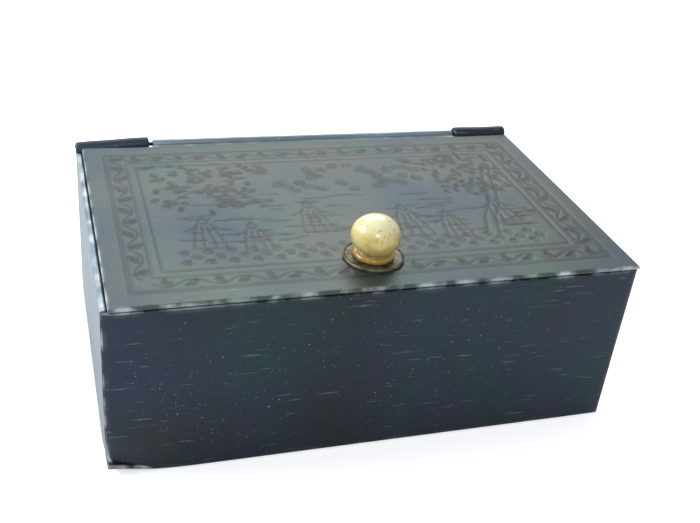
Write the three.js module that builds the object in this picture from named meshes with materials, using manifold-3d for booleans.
// A hinged box of soldered pewter sheet, with a bone knob on its lid.
// Millimetres, +Z up. The origin is the middle of the underside of the base, and -Y is the front.
import * as THREE from "three";
import { mergeVertices } from "three/addons/utils/BufferGeometryUtils.js";
import Module from "manifold-3d";

// Body
const bodyWidth = 203;
const bodyDepth = 129;
const baseThickness = 2;
const wallThickness = 2.4;
const wallHeight = 69.4;
const cornerRadius = 1.6;

// Lid
const lidThickness = 1.8;
const lidSeatGap = 0.5;
const lidRevealLeft = 2.4;
const lidRevealRight = 0.3;
const lidOverhangFront = 0.4;
const lidCornerRadius = 2;

// Sunk band that frames the picture on the lid
const bandInset = 17;
const bandWidth = 3.4;
const bandDepth = 0.35;

// Hinge
const pinRadius = 0.85;
const pinClearance = 0.06;
const pinEndProud = 0.3;
const knuckleRadius = 3.2;
const barrelRadius = 1.9;
const knuckleLengthLeft = 31;
const knuckleLengthRight = 27;
const hingeGapLeft = 1.7;
const hingeGapRight = 0.5;
const axisBelowLidTop = 0.6;
const hingeClearance = 0.3;
const jointGap = 0.3;
const solderOverlap = 0.9;
const sideNotchLength = 8;

// Knob and its fixings
const knobRadius = 9.3;
const knobSemiHeight = 7.7;
const knobCentreHeight = 8.6;
const knobNeckRadius = 6.7;
const knobFootRadius = 7.9;
const knobFootHeight = 2.3;
const knobFromFront = 20.6;
const knobOffCentre = -2.2;
const washerRadius = 11.6;
const washerThickness = 0.7;
const washerRimWidth = 1;
const washerRimHeight = 0.35;
const screwRadius = 1.5;
const screwDepthInKnob = 8.5;
const screwHeadRadius = 3.6;
const screwHeadHeight = 1.6;
const screwSlotWidth = 0.9;
const screwSlotDepth = 0.8;
const innerWasherRadius = 6;
const innerWasherThickness = 0.8;

// Facets of a full turn
const turnFacets = 48;
const cornerFacets = 5;

const wasm = await Module();
wasm.setup();

const pewter = new THREE.MeshStandardMaterial({ color: 0x3c4446, roughness: 0.5, metalness: 0.85 });
const lidPewter = new THREE.MeshStandardMaterial({ color: 0x4a5152, roughness: 0.48, metalness: 0.85 });
const bone = new THREE.MeshStandardMaterial({ color: 0xc9bd82, roughness: 0.25, metalness: 0 });
const brass = new THREE.MeshStandardMaterial({ color: 0x5d5847, roughness: 0.5, metalness: 0.8 });
const iron = new THREE.MeshStandardMaterial({ color: 0x3a3634, roughness: 0.6, metalness: 0.9 });

// Heights that follow from the sizes above
const wallTop = baseThickness + wallHeight;
const lidUnderside = wallTop + lidSeatGap;
const lidTop = lidUnderside + lidThickness;
const axisY = bodyDepth / 2 - wallThickness / 2;
const axisZ = lidTop - axisBelowLidTop;

// Plan of the lid
const lidLeft = -bodyWidth / 2 + lidRevealLeft;
const lidRight = bodyWidth / 2 - lidRevealRight;
const lidFront = -bodyDepth / 2 - lidOverhangFront;
const lidBack = axisY - knuckleRadius - hingeClearance;

// Hinge stretches along X
const knuckleLeftEnd = -bodyWidth / 2 + knuckleLengthLeft;
const knuckleRightEnd = bodyWidth / 2 - knuckleLengthRight;
const barrelLeft = knuckleLeftEnd + hingeGapLeft;
const barrelRight = knuckleRightEnd - hingeGapRight;

const knobX = (lidLeft + lidRight) / 2 + knobOffCentre;
const knobY = lidFront + knobFromFront;

// A rectangle's outline with its own radius at each corner: front left, front right, back right, back left.
function roundedOutline(left, right, front, back, radii) {
  const corners = [
    [left, front, Math.PI],
    [right, front, 1.5 * Math.PI],
    [right, back, 0],
    [left, back, 0.5 * Math.PI],
  ];
  const shape = new THREE.Shape();
  corners.forEach(([x, y, start], i) => {
    const r = radii[i];
    if (r === 0) {
      if (i === 0) shape.moveTo(x, y);
      else shape.lineTo(x, y);
      return;
    }
    const cx = x === left ? x + r : x - r;
    const cy = y === front ? y + r : y - r;
    shape.absarc(cx, cy, r, start, start + Math.PI / 2, false);
  });
  shape.closePath();
  return shape;
}

// A plan outline raised from one height to another
function raised(shape, bottom, top) {
  const geometry = new THREE.ExtrudeGeometry(shape, {
    depth: top - bottom,
    bevelEnabled: false,
    curveSegments: cornerFacets,
  });
  return geometry.translate(0, 0, bottom);
}

// A closed profile of [radius, along] points turned about X, starting at the given place along X
function turnedAlongX(profile, start) {
  const points = profile.map(([r, along]) => new THREE.Vector2(r, along));
  return new THREE.LatheGeometry(points, turnFacets).rotateZ(-Math.PI / 2).translate(start, 0, 0);
}

// A profile of [radius, height] points turned about Z
function turnedUp(profile) {
  const points = profile.map(([r, height]) => new THREE.Vector2(r, height));
  return new THREE.LatheGeometry(points, turnFacets).rotateX(Math.PI / 2);
}

function toSolid(geometry) {
  const bare = geometry.index ? geometry.toNonIndexed() : geometry.clone();
  bare.deleteAttribute("normal");
  bare.deleteAttribute("uv");
  const merged = mergeVertices(bare, 1e-4);
  return new wasm.Manifold(
    new wasm.Mesh({
      numProp: 3,
      vertProperties: new Float32Array(merged.attributes.position.array),
      triVerts: new Uint32Array(merged.index.array),
    }),
  );
}

function toGeometry(solid) {
  const mesh = solid.getMesh();
  const geometry = new THREE.BufferGeometry();
  geometry.setAttribute("position", new THREE.BufferAttribute(mesh.vertProperties, mesh.numProp));
  geometry.setIndex(new THREE.BufferAttribute(mesh.triVerts, 1));
  const flat = geometry.toNonIndexed();
  flat.computeVertexNormals();
  return flat;
}

function cut(geometry, ...tools) {
  let solid = toSolid(geometry);
  for (const tool of tools) solid = solid.subtract(toSolid(tool));
  return toGeometry(solid);
}

function join(...geometries) {
  return toGeometry(geometries.map(toSolid).reduce((sum, solid) => sum.add(solid)));
}

// A rod along X on the hinge axis, used to cut room round the hinge
function axisRod(radius, left, right) {
  return new THREE.CylinderGeometry(radius, radius, right - left, turnFacets)
    .rotateZ(Math.PI / 2)
    .translate((left + right) / 2, axisY, axisZ);
}

function block(left, right, front, back, bottom, top) {
  return new THREE.BoxGeometry(right - left, back - front, top - bottom).translate(
    (left + right) / 2,
    (front + back) / 2,
    (bottom + top) / 2,
  );
}

const box = new THREE.Group();

function addPiece(group, name, geometry, material) {
  const mesh = new THREE.Mesh(geometry, material);
  mesh.name = name;
  group.add(mesh);
}

const halfWidth = bodyWidth / 2;
const halfDepth = bodyDepth / 2;

function bottomPlate() {
  const outline = roundedOutline(-halfWidth, halfWidth, -halfDepth, halfDepth, [
    cornerRadius,
    cornerRadius,
    cornerRadius,
    cornerRadius,
  ]);
  return raised(outline, 0, baseThickness);
}

// The front wall's outer corners are rubbed round, and its inner ones are square.
function frontWall() {
  const outline = roundedOutline(-halfWidth, halfWidth, -halfDepth, -halfDepth + wallThickness, [
    cornerRadius,
    cornerRadius,
    0,
    0,
  ]);
  return raised(outline, baseThickness, wallTop);
}

// The back wall's top is hollowed for the two body knuckles and the lid's barrel.
function backWall() {
  const outline = roundedOutline(-halfWidth, halfWidth, halfDepth - wallThickness, halfDepth, [
    0,
    0,
    cornerRadius,
    cornerRadius,
  ]);
  const past = 1;
  const seat = knuckleRadius;
  return cut(
    raised(outline, baseThickness, wallTop),
    axisRod(seat + 0.01, -halfWidth - past, knuckleLeftEnd + jointGap),
    axisRod(seat + 0.01, knuckleRightEnd - jointGap, halfWidth + past),
    axisRod(barrelRadius + hingeClearance, knuckleLeftEnd, knuckleRightEnd),
  );
}

// Each side wall stands between the front and back walls, and its back corner is cut down beside the knuckle.
function sideWall(outer, inner) {
  const left = Math.min(outer, inner);
  const right = Math.max(outer, inner);
  const front = -halfDepth + wallThickness;
  const back = halfDepth - wallThickness;
  const notchBottom = axisZ - knuckleRadius - jointGap;
  const past = 1;
  return cut(
    block(left, right, front, back, baseThickness, wallTop),
    block(left - past, right + past, halfDepth - sideNotchLength, back + past, notchBottom, wallTop + past),
  );
}

// The lid is a flat plate with a shallow sunk band round the picture, and a tongue that reaches back to its barrel.
function lidPlate() {
  const outline = roundedOutline(lidLeft, lidRight, lidFront, lidBack, [
    lidCornerRadius,
    lidCornerRadius,
    0,
    0,
  ]);
  const tongueBack = axisY - barrelRadius + solderOverlap;
  const tongue = block(barrelLeft, barrelRight, lidBack - 1, tongueBack, lidUnderside, lidTop);
  const outerBand = block(
    lidLeft + bandInset,
    lidRight - bandInset,
    lidFront + bandInset,
    lidBack - bandInset,
    lidTop - bandDepth,
    lidTop + 1,
  );
  const inner = bandInset + bandWidth;
  const innerField = block(
    lidLeft + inner,
    lidRight - inner,
    lidFront + inner,
    lidBack - inner,
    lidTop - bandDepth - 1,
    lidTop + 2,
  );
  const band = cut(outerBand, innerField);
  const screwHole = new THREE.CylinderGeometry(
    screwRadius + hingeClearance,
    screwRadius + hingeClearance,
    4 * lidThickness,
    turnFacets,
  )
    .rotateX(Math.PI / 2)
    .translate(knobX, knobY, lidTop);
  const barrelRoom = axisRod(barrelRadius + 0.01, barrelLeft - 1, barrelRight + 1);
  return cut(join(raised(outline, lidUnderside, lidTop), tongue), band, screwHole, barrelRoom);
}

// A tube along X round the hinge pin, with eased ends
function hingeTube(outerRadius, left, right, ease) {
  const bore = pinRadius + pinClearance;
  const length = right - left;
  const tube = turnedAlongX(
    [
      [bore, 0],
      [outerRadius - ease, 0],
      [outerRadius, ease],
      [outerRadius, length - ease],
      [outerRadius - ease, length],
      [bore, length],
      [bore, 0],
    ],
    left,
  );
  return tube.translate(0, axisY, axisZ);
}

function hingePin() {
  const ease = 0.3;
  const length = bodyWidth + 2 * pinEndProud;
  return turnedAlongX(
    [
      [0, 0],
      [pinRadius - ease, 0],
      [pinRadius, ease],
      [pinRadius, length - ease],
      [pinRadius - ease, length],
      [0, length],
    ],
    -length / 2,
  ).translate(0, axisY, axisZ);
}

// The turned knob: a round foot, a narrow neck and a flattened ball, bored from below for its screw
function knobBody() {
  const base = washerThickness;
  const profile = [
    [screwRadius + 0.05, 0],
    [knobFootRadius - 0.5, 0],
    [knobFootRadius, 0.5],
    [knobFootRadius, knobFootHeight - 0.9],
    [knobFootRadius - 0.5, knobFootHeight - 0.3],
    [knobNeckRadius, knobFootHeight],
  ];
  const ballStart = Math.acos((knobCentreHeight - knobFootHeight - 0.4) / knobSemiHeight);
  const ballSteps = 20;
  for (let i = 0; i <= ballSteps; i++) {
    const angle = ballStart + ((Math.PI - ballStart) * i) / ballSteps;
    const radius = i === ballSteps ? 0 : knobRadius * Math.sin(angle);
    profile.push([radius, knobCentreHeight - knobSemiHeight * Math.cos(angle)]);
  }
  profile.push([0, screwDepthInKnob + 0.5]);
  profile.push([screwRadius + 0.05, screwDepthInKnob + 0.5]);
  profile.push([screwRadius + 0.05, 0]);
  return turnedUp(profile).translate(knobX, knobY, lidTop + base);
}

// A thin round plate under the knob, with a raised rim
function knobWasher() {
  const inner = screwRadius + hingeClearance;
  return turnedUp([
    [inner, 0],
    [washerRadius, 0],
    [washerRadius, washerThickness],
    [washerRadius - washerRimWidth / 2, washerThickness + washerRimHeight],
    [washerRadius - washerRimWidth, washerThickness],
    [inner, washerThickness],
    [inner, 0],
  ]).translate(knobX, knobY, lidTop);
}

// A screw from inside the box: its slotted head bears on the inner washer.
function knobScrew() {
  const headTop = lidUnderside - innerWasherThickness;
  const tip = lidTop + washerThickness + screwDepthInKnob;
  const shank = turnedUp([
    [0, headTop - screwHeadHeight],
    [screwHeadRadius - 0.6, headTop - screwHeadHeight],
    [screwHeadRadius, headTop - 0.7],
    [screwHeadRadius, headTop],
    [screwRadius, headTop],
    [screwRadius, tip - 1.5],
    [0, tip],
  ]).translate(knobX, knobY, 0);
  const slot = block(
    knobX - 2 * screwHeadRadius,
    knobX + 2 * screwHeadRadius,
    knobY - screwSlotWidth / 2,
    knobY + screwSlotWidth / 2,
    headTop - screwHeadHeight - 1,
    headTop - screwHeadHeight + screwSlotDepth,
  );
  return cut(shank, slot);
}

function innerWasher() {
  const inner = screwRadius + hingeClearance;
  return turnedUp([
    [inner, 0],
    [innerWasherRadius, 0],
    [innerWasherRadius, innerWasherThickness],
    [inner, innerWasherThickness],
    [inner, 0],
  ]).translate(knobX, knobY, lidUnderside - innerWasherThickness);
}

const body = new THREE.Group();
addPiece(body, "bottom_plate", bottomPlate(), pewter);
addPiece(body, "front_wall", frontWall(), pewter);
addPiece(body, "back_wall", backWall(), pewter);
addPiece(body, "left_wall", sideWall(-halfWidth, -halfWidth + wallThickness), pewter);
addPiece(body, "right_wall", sideWall(halfWidth, halfWidth - wallThickness), pewter);
addPiece(body, "hinge_knuckle_left", hingeTube(knuckleRadius, -halfWidth, knuckleLeftEnd, 0.5), pewter);
addPiece(body, "hinge_knuckle_right", hingeTube(knuckleRadius, knuckleRightEnd, halfWidth, 0.5), pewter);
addPiece(body, "hinge_pin", hingePin(), iron);
box.add(body);

const lid = new THREE.Group();
addPiece(lid, "lid_plate", lidPlate(), lidPewter);
addPiece(lid, "lid_hinge_barrel", hingeTube(barrelRadius, barrelLeft, barrelRight, 0.3), lidPewter);
addPiece(lid, "knob_washer", knobWasher(), brass);
addPiece(lid, "knob", knobBody(), bone);
addPiece(lid, "knob_screw", knobScrew(), iron);
addPiece(lid, "inner_washer", innerWasher(), brass);
box.add(lid);

export default box;
